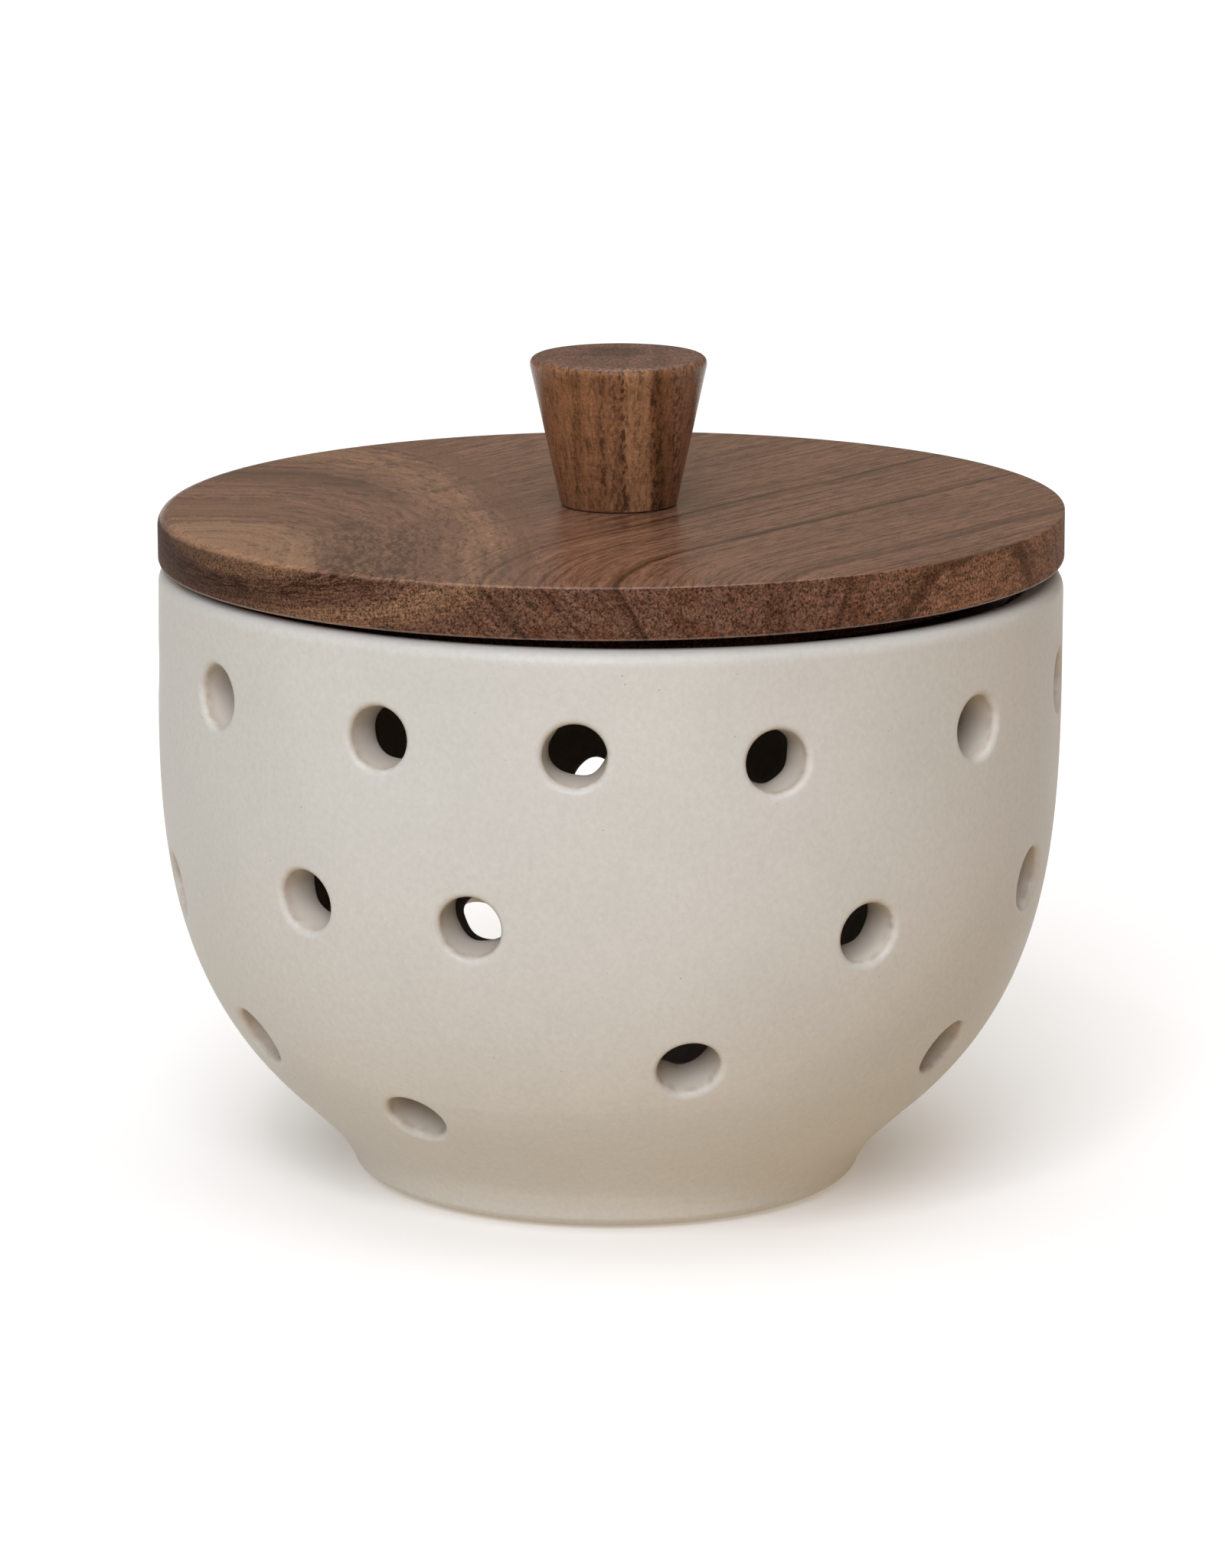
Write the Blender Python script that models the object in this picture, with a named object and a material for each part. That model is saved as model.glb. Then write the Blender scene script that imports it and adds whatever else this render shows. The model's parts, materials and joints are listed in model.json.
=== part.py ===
"""Ventilated garlic keeper: footed stoneware bowl, wooden lid with knob. Metres, +Z up, front is -Y."""
from math import atan, cos, pi, radians, sin, tau

import bmesh
import bpy
from mathutils import Matrix, Vector

MM = 0.001
GAP = 0.3 * MM
OVERCUT = 1.0 * MM

# Bowl: a rounded belly that grows out of a short flared foot
BOWL_R = 70.0 * MM
WIDEST_Z = 82.0 * MM
BELLY_DEPTH = 86.6 * MM
BELLY_CURVE = 3.23
BELLY_FULLNESS = 1.77
FOOT_R = 37.9 * MM
FOOT_FLARE = 0.6
FOOT_H = 12.0 * MM
FOOT_BLEND = 3.8 * MM
FOOT_EDGE_W = 5.9 * MM
FOOT_EDGE_H = 3.0 * MM
FOOT_RING_W = 5.0 * MM
FOOT_RECESS = 2.5 * MM
WALL = 7.0 * MM
FLOOR_Z = 8.0 * MM
RIM_Z = 96.1 * MM
RIM_OUTER_R = 2.3 * MM
BOWL_STEPS = 72

# Air holes: degrees round from the front towards +X, and height in millimetres, punched by eye
TOP_ROW = ((-57.7, 82.3), (-29.3, 81.1), (-4.2, 80.4), (20.7, 79.0), (52.1, 79.8), (80, 81), (107, 80),
           (135, 82), (163, 80), (190, 79), (217, 81), (244, 80), (272, 81))
MIDDLE_ROW = ((-77.5, 48.1), (-41.0, 54.3), (-17.3, 53.6), (34.5, 51.1), (69.3, 52.5), (104, 50),
              (141, 53), (181.7, 46.7), (226, 51), (254, 56))
LOWER_ROW = ((-61.6, 27.5), (-31.6, 19.4), (11.3, 31.2), (57.9, 27.5), (98, 24), (149, 25),
             (201.4, 24.4), (250, 26))
HOLE_OUTER_R = 4.75 * MM
HOLE_INNER_R = 4.25 * MM
HOLE_LIP = 1.1 * MM
HOLE_SIDES = 12

# Lid, in its own frame: zero is the underside that faces the rim
LID_R = 70.0 * MM
LID_THICK = 8.0 * MM
LID_SEAT_Z = 97.6 * MM
LID_TILT = radians(0.64)
LID_TOP_EDGE_R = 1.5 * MM
LID_LOW_EDGE_R = 0.8 * MM
STEP_R = BOWL_R - WALL - 2.4 * MM
STEP_DEPTH = 7.6 * MM
STEP_EDGE = 0.8 * MM
GROOVE_DEPTH = 2.0 * MM
GROOVE_LOW = -6.0 * MM
GROOVE_HIGH = -3.2 * MM
RING_R = BOWL_R - WALL - 0.45 * MM
LID_STEPS = 96

# Knob and its screw, a little to the right of the lid's centre
KNOB_OFFSET = 1.2 * MM
KNOB_BASE_R = 8.95 * MM
KNOB_TOP_R = 13.95 * MM
KNOB_H = 23.1 * MM
KNOB_EDGE_R = 1.6 * MM
KNOB_FOOT_R = 0.4 * MM
KNOB_STEPS = 48
SCREW_R = 2.0 * MM
SCREW_HEAD_R = 4.0 * MM
SCREW_HEAD_H = 2.4 * MM
SCREW_LENGTH = 26.0 * MM
SCREW_POINT = 3.0 * MM
SCREW_SUNK = 0.4 * MM
DRIVE_R = 1.9 * MM
DRIVE_W = 0.8 * MM
DRIVE_DEPTH = 1.2 * MM
SCREW_STEPS = 24


def arc(centre, radius, start, end, steps):
    """Points on an arc in the (radius, height) plane, angles in degrees from the outward direction."""
    points = []
    for i in range(steps + 1):
        angle = radians(start + (end - start) * i / steps)
        points.append((centre[0] + radius * cos(angle), centre[1] + radius * sin(angle)))
    return points


def material(name, colour, roughness, metallic=0.0):
    mat = bpy.data.materials.new(name)
    mat.use_nodes = True
    shader = mat.node_tree.nodes["Principled BSDF"]
    shader.inputs["Base Color"].default_value = (*colour, 1.0)
    shader.inputs["Roughness"].default_value = roughness
    shader.inputs["Metallic"].default_value = metallic
    mat.diffuse_color = (*colour, 1.0)
    return mat


def turned(name, outline, steps, closed=False):
    """A solid turned about its own Z axis from (radius, height) points; a closed outline makes a ring."""
    bm = bmesh.new()
    verts = [bm.verts.new((r, 0.0, z)) for r, z in outline]
    edges = [bm.edges.new(pair) for pair in zip(verts, verts[1:])]
    if closed:
        edges.append(bm.edges.new((verts[-1], verts[0])))
    bmesh.ops.spin(bm, geom=verts + edges, axis=(0, 0, 1), cent=(0, 0, 0), angle=tau, steps=steps,
                   use_merge=True)
    bmesh.ops.remove_doubles(bm, verts=bm.verts, dist=1e-6)
    bmesh.ops.recalc_face_normals(bm, faces=bm.faces)
    mesh = bpy.data.meshes.new(name)
    bm.to_mesh(mesh)
    bm.free()
    mesh.shade_smooth()
    mesh.set_sharp_from_angle(angle=radians(35))
    obj = bpy.data.objects.new(name, mesh)
    bpy.context.collection.objects.link(obj)
    return obj


def cut(obj, cutter):
    cutter.hide_render = True
    cutter.display_type = "WIRE"
    cutter.parent = obj
    boolean = obj.modifiers.new("cut_" + cutter.name, "BOOLEAN")
    boolean.operation = "DIFFERENCE"
    boolean.solver = "EXACT"
    boolean.object = cutter


def belly_radius(z):
    depth = min(max((WIDEST_Z - z) / BELLY_DEPTH, 0.0), 1.0)
    return BOWL_R * (1.0 - depth ** BELLY_CURVE) ** (1.0 / BELLY_FULLNESS)


def outer_radius(z):
    """The belly and the flared foot, blended where they meet."""
    belly = belly_radius(z)
    foot = FOOT_R + FOOT_FLARE * min(z, FOOT_H)
    mix = min(max(0.5 + 0.5 * (foot - belly) / FOOT_BLEND, 0.0), 1.0)
    return belly * (1.0 - mix) + foot * mix + FOOT_BLEND * mix * (1.0 - mix)


def wall_lean(z):
    """How far the belly's outward direction points down, in radians."""
    step = 0.1 * MM
    return atan((belly_radius(z + step) - belly_radius(z - step)) / (2.0 * step))


def bowl_outline():
    foot_edge = outer_radius(FOOT_EDGE_H) - FOOT_EDGE_W
    foot_in = foot_edge - FOOT_RING_W
    outline = [(0.0, FOOT_RECESS), (foot_in - FOOT_RECESS, FOOT_RECESS), (foot_in, 0.0)]
    rounding = arc((0.0, 1.0), 1.0, -90, 0, 5)
    outline += [(foot_edge + FOOT_EDGE_W * across, FOOT_EDGE_H * up) for across, up in rounding]
    outline += [(outer_radius(z * MM), z * MM) for z in (4.5, 6, 8, 10, 12, 15, 18, 22)]
    outline += [(outer_radius(z * MM), z * MM) for z in (27, 32, 38, 45, 53, 62, 72, 82)]
    rim_inner_r = WALL - RIM_OUTER_R
    outline += arc((BOWL_R - RIM_OUTER_R, RIM_Z - RIM_OUTER_R), RIM_OUTER_R, 0, 90, 4)
    outline += arc((BOWL_R - RIM_OUTER_R, RIM_Z - rim_inner_r), rim_inner_r, 90, 180, 4)[1:]
    for z in (78, 68, 58, 49, 41, 34, 28, 23, 19, 15, 11, 7):
        lean = wall_lean(z * MM)
        outline.append((belly_radius(z * MM) - WALL * cos(lean), z * MM + WALL * sin(lean)))
    return outline + [(outline[-1][0] - WALL, FLOOR_Z), (0.0, FLOOR_Z)]


def make_bowl():
    bowl = turned("bowl", bowl_outline(), BOWL_STEPS)
    bowl.data.materials.append(material("cream_stoneware", (0.66, 0.62, 0.55), 0.5))
    taper = (HOLE_OUTER_R - HOLE_INNER_R) / WALL
    punch_outline = [(0.0, -2.0 * WALL), (HOLE_OUTER_R - 2.0 * WALL * taper, -2.0 * WALL),
                     (HOLE_OUTER_R, -0.6 * HOLE_LIP), (HOLE_OUTER_R + 1.6 * HOLE_LIP, HOLE_LIP),
                     (0.0, HOLE_LIP)]
    punches = bmesh.new()
    punch = turned("punch", punch_outline, HOLE_SIDES)
    for around, height in TOP_ROW + MIDDLE_ROW + LOWER_ROW:
        z = height * MM
        lean = wall_lean(z)
        turn = Matrix.Rotation(radians(around - 90.0), 4, "Z")
        tip = Matrix.Rotation(pi / 2 + lean, 4, "Y")
        place = turn @ Matrix.Translation((outer_radius(z), 0.0, z)) @ tip
        start = len(punches.verts)
        punches.from_mesh(punch.data)
        punches.verts.ensure_lookup_table()
        bmesh.ops.transform(punches, matrix=place, verts=punches.verts[start:])
    bpy.data.objects.remove(punch)
    mesh = bpy.data.meshes.new("air_holes")
    punches.to_mesh(mesh)
    punches.free()
    cutter = bpy.data.objects.new("air_holes", mesh)
    bpy.context.collection.objects.link(cutter)
    cut(bowl, cutter)


def make_lid(seat, wood):
    groove_r = STEP_R - GROOVE_DEPTH
    outline = [(0.0, -STEP_DEPTH), (STEP_R - STEP_EDGE, -STEP_DEPTH), (STEP_R, STEP_EDGE - STEP_DEPTH),
               (STEP_R, GROOVE_LOW), (groove_r, GROOVE_LOW), (groove_r, GROOVE_HIGH), (STEP_R, GROOVE_HIGH),
               (STEP_R, 0.0)]
    outline += arc((LID_R - LID_LOW_EDGE_R, LID_LOW_EDGE_R), LID_LOW_EDGE_R, -90, 0, 3)
    outline += arc((LID_R - LID_TOP_EDGE_R, LID_THICK - LID_TOP_EDGE_R), LID_TOP_EDGE_R, 0, 90, 3)
    outline.append((0.0, LID_THICK))
    lid = turned("lid_board", outline, LID_STEPS)
    lid.data.materials.append(wood)
    lid.parent = seat
    head_r = SCREW_HEAD_R + GAP
    hole_r = SCREW_R + GAP
    below = -STEP_DEPTH - OVERCUT
    above = LID_THICK + OVERCUT
    head_z = SCREW_SUNK - STEP_DEPTH + GAP
    hole_outline = [(0.0, below), (head_r, below), (head_r, head_z), (hole_r, head_z + SCREW_HEAD_H),
                    (hole_r, above), (0.0, above)]
    hole = turned("lid_screw_hole", hole_outline, SCREW_STEPS)
    hole.location.x = KNOB_OFFSET
    cut(lid, hole)


def make_seal_ring(seat):
    inner_r = STEP_R - GROOVE_DEPTH + GAP
    low = GROOVE_LOW + GAP
    high = GROOVE_HIGH - GAP
    middle = (low + high) / 2
    half = (high - low) / 2
    outline = [(inner_r, low), (STEP_R, low)]
    for i in range(5):
        angle = radians(-72 + 36 * i)
        outline.append((STEP_R + (RING_R - STEP_R) * cos(angle), middle + half * sin(angle)))
    outline += [(STEP_R, high), (inner_r, high)]
    ring = turned("seal_ring", outline, LID_STEPS, closed=True)
    ring.data.materials.append(material("dark_silicone", (0.03, 0.024, 0.02), 0.55))
    ring.parent = seat


def make_knob(seat, wood):
    taper = (KNOB_TOP_R - KNOB_BASE_R) / KNOB_H
    lean = atan(taper)
    shoulder_r = KNOB_TOP_R - KNOB_EDGE_R * (1.0 + taper)
    outline = [(0.0, 0.0), (KNOB_BASE_R - KNOB_FOOT_R, 0.0), (KNOB_BASE_R + taper * KNOB_FOOT_R, KNOB_FOOT_R)]
    turn = -180 * lean / pi
    outline += arc((shoulder_r, KNOB_H - KNOB_EDGE_R), KNOB_EDGE_R, turn, 90, 5)
    outline.append((0.0, KNOB_H))
    knob = turned("knob", outline, KNOB_STEPS)
    knob.data.materials.append(wood)
    knob.parent = seat
    knob.location = (KNOB_OFFSET, 0.0, LID_THICK + GAP)
    depth = SCREW_LENGTH + SCREW_SUNK - STEP_DEPTH - LID_THICK
    pilot_r = SCREW_R + GAP
    pilot_outline = [(0.0, -OVERCUT), (pilot_r, -OVERCUT), (pilot_r, depth), (0.0, depth + pilot_r)]
    cut(knob, turned("knob_pilot_hole", pilot_outline, SCREW_STEPS))


def make_screw(seat):
    shank_end = SCREW_LENGTH - SCREW_POINT
    outline = [(0.0, 0.0), (SCREW_HEAD_R, 0.0), (SCREW_R, SCREW_HEAD_H), (SCREW_R, shank_end),
               (0.0, SCREW_LENGTH)]
    screw = turned("knob_screw", outline, SCREW_STEPS)
    screw.data.materials.append(material("zinc_steel", (0.55, 0.54, 0.52), 0.35, 1.0))
    screw.parent = seat
    screw.location = (KNOB_OFFSET, 0.0, SCREW_SUNK - STEP_DEPTH)
    bm = bmesh.new()
    bmesh.ops.create_cube(bm, size=1.0)
    bmesh.ops.scale(bm, vec=Vector((2.0 * DRIVE_R, DRIVE_W, 2.0 * DRIVE_DEPTH)), verts=bm.verts)
    slot_mesh = bpy.data.meshes.new("drive_slot")
    bm.to_mesh(slot_mesh)
    bm.free()
    for i in range(2):
        slot = bpy.data.objects.new(f"drive_slot_{i}", slot_mesh)
        slot.rotation_euler.z = i * pi / 2
        bpy.context.collection.objects.link(slot)
        cut(screw, slot)


def main():
    for obj in list(bpy.data.objects):
        bpy.data.objects.remove(obj, do_unlink=True)
    make_bowl()
    # The lid, its ring, knob and screw share one seat, and its right side stands a little high
    seat = bpy.data.objects.new("lid_seat", None)
    seat.location.z = LID_SEAT_Z
    seat.rotation_euler.y = -LID_TILT
    bpy.context.collection.objects.link(seat)
    wood = material("acacia", (0.2, 0.125, 0.09), 0.55)
    make_lid(seat, wood)
    make_seal_ring(seat)
    make_knob(seat, wood)
    make_screw(seat)


main()
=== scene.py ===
"""Looks of the ventilated garlic keeper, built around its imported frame. Metres, +Z up, the front is -Y."""
import json
from math import atan, atan2, ceil, cos, hypot, pi, radians, sin, tan, tau

import bmesh
import bpy
import numpy as np
from mathutils import Matrix, Vector, noise


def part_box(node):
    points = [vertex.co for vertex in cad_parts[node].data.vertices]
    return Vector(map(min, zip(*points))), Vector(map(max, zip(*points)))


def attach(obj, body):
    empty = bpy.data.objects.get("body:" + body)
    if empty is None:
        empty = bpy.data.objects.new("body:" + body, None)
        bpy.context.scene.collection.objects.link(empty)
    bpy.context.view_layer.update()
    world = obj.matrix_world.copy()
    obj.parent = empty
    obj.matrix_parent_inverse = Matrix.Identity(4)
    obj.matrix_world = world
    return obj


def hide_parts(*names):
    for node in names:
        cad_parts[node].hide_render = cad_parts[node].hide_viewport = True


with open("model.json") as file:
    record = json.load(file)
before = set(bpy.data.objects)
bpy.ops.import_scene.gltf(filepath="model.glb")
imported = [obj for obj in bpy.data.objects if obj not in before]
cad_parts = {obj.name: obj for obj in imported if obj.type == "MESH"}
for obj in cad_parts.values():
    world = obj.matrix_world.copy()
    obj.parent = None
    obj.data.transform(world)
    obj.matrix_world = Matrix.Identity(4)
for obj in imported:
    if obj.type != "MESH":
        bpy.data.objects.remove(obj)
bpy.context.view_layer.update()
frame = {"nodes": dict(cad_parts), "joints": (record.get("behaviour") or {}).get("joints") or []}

MM = 0.001

# Bowl: its overall size comes from the frame, the rest are the same driving sizes as the part's
BOWL_LOW, BOWL_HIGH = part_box("bowl")
BOWL_R = (BOWL_HIGH.x - BOWL_LOW.x) / 2
RIM_Z = BOWL_HIGH.z
WIDEST_Z = 82.0 * MM
BELLY_DEPTH = 86.6 * MM
BELLY_CURVE = 3.23
BELLY_FULLNESS = 1.77
FOOT_R = 37.9 * MM
FOOT_FLARE = 0.6
FOOT_H = 12.0 * MM
FOOT_BLEND = 3.8 * MM
FOOT_EDGE_W = 5.9 * MM
FOOT_EDGE_H = 3.0 * MM
FOOT_RING_W = 5.0 * MM
FOOT_RECESS = 2.5 * MM
WALL = 7.0 * MM
WALL_LOW_Z = FOOT_EDGE_H + 1.5 * MM
FLOOR_Z = 8.0 * MM
INNER_LOW_Z = 7.0 * MM
RIM_OUTER_R = 2.3 * MM
RIM_INNER_R = WALL - RIM_OUTER_R
RIM_RUN = 0.4 * MM
WOBBLE = 0.12 * MM
WOBBLE_SIZE = 28.0 * MM

# Air holes: degrees round from the front towards +X, and height in millimetres
TOP_ROW = ((-57.7, 82.3), (-29.3, 81.1), (-4.2, 80.4), (20.7, 79.0), (52.1, 79.8), (80, 81), (107, 80),
           (135, 82), (163, 80), (190, 79), (217, 81), (244, 80), (272, 81))
MIDDLE_ROW = ((-77.5, 48.1), (-41.0, 54.3), (-17.3, 53.6), (34.5, 51.1), (69.3, 52.5), (104, 50),
              (141, 53), (181.7, 46.7), (226, 51), (254, 56))
LOWER_ROW = ((-61.6, 27.5), (-31.6, 19.4), (11.3, 31.2), (57.9, 27.5), (98, 24), (149, 25),
             (201.4, 24.4), (250, 26))
HOLE_OUTER_R = 4.75 * MM
HOLE_INNER_R = 4.25 * MM
HOLE_LIP = 1.1 * MM
HOLE_BACK_LIP = 0.5 * MM
HOLE_PATCH = 7.4 * MM
HOLE_RAGGED = 0.45 * MM

# Lid, in its own frame: its seat is the pivot of the lid's own joint, and the axis there gives its tilt
LID_TURN = next(joint for joint in frame["joints"] if joint["name"] == "lid_turn")
LID_SEAT = Vector(LID_TURN["pos_m"])
LID_TILT = atan2(-LID_TURN["axis"][0], LID_TURN["axis"][2])
LID_R = 70.0 * MM
LID_THICK = 8.0 * MM
LID_EDGE_SHARP = 0.25 * MM
LID_EDGE_SOFT = 2.4 * MM
LID_SOFT_SIDE = 245.0
STEP_R = BOWL_R - WALL - 2.4 * MM
STEP_DEPTH = 7.6 * MM
GROOVE_R = STEP_R - 2.0 * MM
GROOVE_LOW = -6.0 * MM
GROOVE_HIGH = -3.2 * MM
RING_R = BOWL_R - WALL - 0.45 * MM
RING_TIP = 0.35 * MM
KNOB_OFFSET = 1.2 * MM
KNOB_CENTRED_R = 0.2 * LID_R
BOWL_CENTRED_R = 0.7 * LID_R
KNOB_BASE_R = 8.95 * MM
KNOB_TOP_R = 13.95 * MM
KNOB_H = 23.1 * MM
SCREW_HOLE_R = 2.3 * MM
SCREW_HEAD_R = 4.3 * MM
SCREW_HEAD_Z = -6.9 * MM
SCREW_CONE_H = 2.4 * MM
PILOT_DEPTH = 10.8 * MM
GAP = 0.3 * MM
KNOB_GAP = 0.08 * MM

# How finely the meshes are divided: columns round the axis, longest straights, and steps in an arc
COLUMNS = 288
LID_COLUMNS = 256
KNOB_COLUMNS = 128
ROW_STEP = 1.5 * MM
FLAT_STEP = 3.0 * MM
KNOB_STEP = 1.5 * MM
RING_STEP = 1.0 * MM
ARC_STEPS = 8
LIP_STEPS = 6
BORE_STEPS = 4
BACK_LIP_STEPS = 3
PATCH_PARTS = (0.4, 0.75)

# Closer than these counts as touching, and as lying on the axis
NEAR = 1e-6
ON_AXIS = 1e-7
# A face whose normal's height is past this is on a wooden piece's top or underside, not its side
LEVEL_FACE = 0.6


# ---------------------------------------------------------------- outlines and turned meshes

def rounded(corners, closed=False, steps=6):
    """A path through (radius, height, rounding in mm) corners, each replaced by an arc of its rounding."""
    count = len(corners)
    path = []
    for i, (radius, height, rounding) in enumerate(corners):
        here = Vector((radius, height))
        if rounding == 0.0 or (not closed and i in (0, count - 1)):
            path.append(here)
            continue
        back = (Vector(corners[i - 1][:2]) - here).normalized()
        on = (Vector(corners[(i + 1) % count][:2]) - here).normalized()
        half = back.angle(on) / 2
        size = rounding * MM
        centre = here + (back + on).normalized() * (size / sin(half))
        start = (here + back * (size / tan(half)) - centre).normalized()
        end = (here + on * (size / tan(half)) - centre).normalized()
        path += [centre + start.slerp(end, k / steps) * size for k in range(steps + 1)]
    return path


def spaced(path, longest, closed=False):
    """The same path with its long straights divided, so that no step is over the longest."""
    following = path[1:] + (path[:1] if closed else [])
    points = []
    for a, b in zip(path, following):
        pieces = max(1, ceil((b - a).length / longest))
        points += [a.lerp(b, k / pieces) for k in range(pieces)]
    return points if closed else points + [path[-1]]


def arc(crown, radius, start, steps):
    """A quarter of a circle that touches the height of its crown, from a start angle, both ends included."""
    turns = [start + pi / 2 * k / steps for k in range(steps + 1)]
    return [crown + radius * Vector((cos(a), sin(a) - 1.0)) for a in turns]


def new_object(name, bm, materials):
    bmesh.ops.recalc_face_normals(bm, faces=bm.faces)
    mesh = bpy.data.meshes.new(name)
    bm.to_mesh(mesh)
    bm.free()
    mesh.shade_smooth()
    for mat in materials:
        mesh.materials.append(mat)
    obj = bpy.data.objects.new(name, mesh)
    bpy.context.scene.collection.objects.link(obj)
    return obj


def ring_at(bm, point, columns, middle=0.0):
    """Vertices round the axis at a (radius, height), from the front towards +X. On the axis they are one."""
    if point.x < ON_AXIS:
        return [bm.verts.new((middle, 0.0, point.y))] * columns
    angles = [tau * k / columns for k in range(columns)]
    return [bm.verts.new((middle + point.x * sin(a), -point.x * cos(a), point.y)) for a in angles]


def cell(bm, lower, upper, k):
    """The face between two rings, from column k to the next: a triangle where a ring is one vertex."""
    on = (k + 1) % len(lower)
    corners = dict.fromkeys((lower[k], lower[on], upper[on], upper[k]))
    return bm.faces.new(list(corners))


def turned(name, path, columns, materials, closed=False, centre_x=lambda point: 0.0):
    """
    A solid turned from a path, which ends on the axis or closes on itself. centre_x says how far to the
    side of the axis the ring at a point sits.
    """
    bm = bmesh.new()
    rings = [ring_at(bm, point, columns, centre_x(point)) for point in path]
    following = rings[1:] + (rings[:1] if closed else [])
    for lower, upper in zip(rings, following):
        for k in range(columns):
            cell(bm, lower, upper, k)
    return new_object(name, bm, materials)


# ---------------------------------------------------------------- bowl

def belly_radius(z):
    depth = min(max((WIDEST_Z - z) / BELLY_DEPTH, 0.0), 1.0)
    return BOWL_R * (1.0 - depth ** BELLY_CURVE) ** (1.0 / BELLY_FULLNESS)


def outer_radius(z):
    """The belly and the flared foot, blended where they meet."""
    belly = belly_radius(z)
    foot = FOOT_R + FOOT_FLARE * min(z, FOOT_H)
    mix = min(max(0.5 + 0.5 * (foot - belly) / FOOT_BLEND, 0.0), 1.0)
    return belly * (1.0 - mix) + foot * mix + FOOT_BLEND * mix * (1.0 - mix)


def wall_lean(z):
    """How far the belly's outward direction points down, in radians."""
    step = 0.1 * MM
    return atan((belly_radius(z + step) - belly_radius(z - step)) / (2.0 * step))


def skin(z, depth=0.0):
    """(radius, height) of the point that lies at a depth in the wall, under height z of its outside."""
    if depth == 0.0:
        return outer_radius(z), z
    lean = wall_lean(z)
    return belly_radius(z) - depth * cos(lean), z + depth * sin(lean)


class Wall:
    """The bowl's wall, measured by the angle round it and the distance up its outside."""

    def __init__(self):
        self.fine_z = np.linspace(WALL_LOW_Z, RIM_Z - RIM_INNER_R, 2000)
        radii = np.array([outer_radius(z) for z in self.fine_z])
        self.fine_s = np.concatenate(([0.0], np.cumsum(np.hypot(np.diff(radii), np.diff(self.fine_z)))))
        self.rows = ceil(self.fine_s[-1] / ROW_STEP)
        self.step = self.fine_s[-1] / self.rows

    def height(self, s):
        return float(np.interp(s, self.fine_s, self.fine_z))

    def distance(self, z):
        return float(np.interp(z, self.fine_z, self.fine_s))

    def row(self, number, depth=0.0):
        """(radius, height) of one row of the wall."""
        return skin(self.height(number * self.step), depth)

    def point(self, angle, s, depth=0.0):
        radius, z = skin(self.height(s), depth)
        return Vector((radius * sin(angle), -radius * cos(angle), z))


class Hole:
    """One air hole: the block of wall cells it takes, and the rings of points that line it."""

    def __init__(self, wall, around, height):
        self.wall = wall
        self.angle = radians(around)
        self.z = height * MM
        self.s = wall.distance(self.z)
        column = self.angle / (tau / COLUMNS)
        row = self.s / wall.step
        half_columns = HOLE_PATCH / (skin(self.z)[0] * tau / COLUMNS)
        half_rows = HOLE_PATCH / wall.step
        self.columns = range(round(column - half_columns), round(column + half_columns))
        self.rows = range(round(row - half_rows), round(row + half_rows))

    def border(self):
        """(column, row) of the corners round the block, in order."""
        left, right = self.columns.start, self.columns.stop
        low, high = self.rows.start, self.rows.stop
        loop = [(c, low) for c in range(left, right)] + [(right, r) for r in range(low, high)]
        loop += [(c, high) for c in range(right, left, -1)] + [(left, r) for r in range(high, low, -1)]
        return loop

    def around_axis(self, radius, turn, depth):
        """
        Angle and distance up the wall of a point on a circle about the hole's axis, at a depth. Towards
        the inside the circle is ragged, where the punch tore out of the clay.
        """
        torn = noise.noise(Vector((1.4 * cos(turn), 1.4 * sin(turn), 9.0 * self.angle + self.z / MM)))
        radius += HOLE_RAGGED * torn * depth / WALL
        near = 0.5 * MM
        below = Vector(skin(self.wall.height(self.s - near), depth))
        above = Vector(skin(self.wall.height(self.s + near), depth))
        stretch = (above - below).length / (2.0 * near)
        return (self.angle + radius * cos(turn) / skin(self.z, depth)[0],
                self.s + radius * sin(turn) / stretch)

    def profile(self):
        """(radius, depth) from the lip on the outside to the small lip on the inside."""
        points = []
        for k in range(LIP_STEPS + 1):
            a = pi / 2 * k / LIP_STEPS
            points.append((HOLE_OUTER_R + HOLE_LIP * (1.0 - sin(a)), HOLE_LIP * (1.0 - cos(a))))
        for k in range(1, BORE_STEPS):
            part = k / BORE_STEPS
            points.append((HOLE_OUTER_R + (HOLE_INNER_R - HOLE_OUTER_R) * part,
                           HOLE_LIP + (WALL - HOLE_LIP - HOLE_BACK_LIP) * part))
        for k in range(BACK_LIP_STEPS + 1):
            a = pi / 2 * k / BACK_LIP_STEPS
            points.append((HOLE_INNER_R + HOLE_BACK_LIP * (1.0 - cos(a)),
                           WALL - HOLE_BACK_LIP * (1.0 - sin(a))))
        return points


# The bowl's materials: outside, inside and underside
GLAZE, INNER_GLAZE, CLAY = range(3)


def foot_paths():
    """The bare underside, from the axis to the end of the ring it stands on, and the foot's round edge."""
    edge_r = outer_radius(FOOT_EDGE_H) - FOOT_EDGE_W
    ring_r = edge_r - FOOT_RING_W
    corners = [(0.0, FOOT_RECESS, 0.0), (ring_r - FOOT_RECESS, FOOT_RECESS, 1.0), (ring_r, 0.0, 0.8),
               (edge_r, 0.0, 0.0)]
    turns = [pi / 2 * k / ARC_STEPS for k in range(1, ARC_STEPS + 1)]
    edge = [Vector((edge_r + FOOT_EDGE_W * sin(a), FOOT_EDGE_H * (1.0 - cos(a)))) for a in turns]
    return spaced(rounded(corners), FLAT_STEP), edge


def rim_paths():
    """Up over the outside of the rim to its crown, and on down its inside."""
    crown = Vector((BOWL_R - RIM_OUTER_R, RIM_Z))
    outward = [Vector((BOWL_R, RIM_Z - RIM_OUTER_R - RIM_RUN))] + arc(crown, RIM_OUTER_R, 0.0, ARC_STEPS)
    return outward, arc(crown, RIM_INNER_R, pi / 2, ARC_STEPS + 1)[1:-1]


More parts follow.
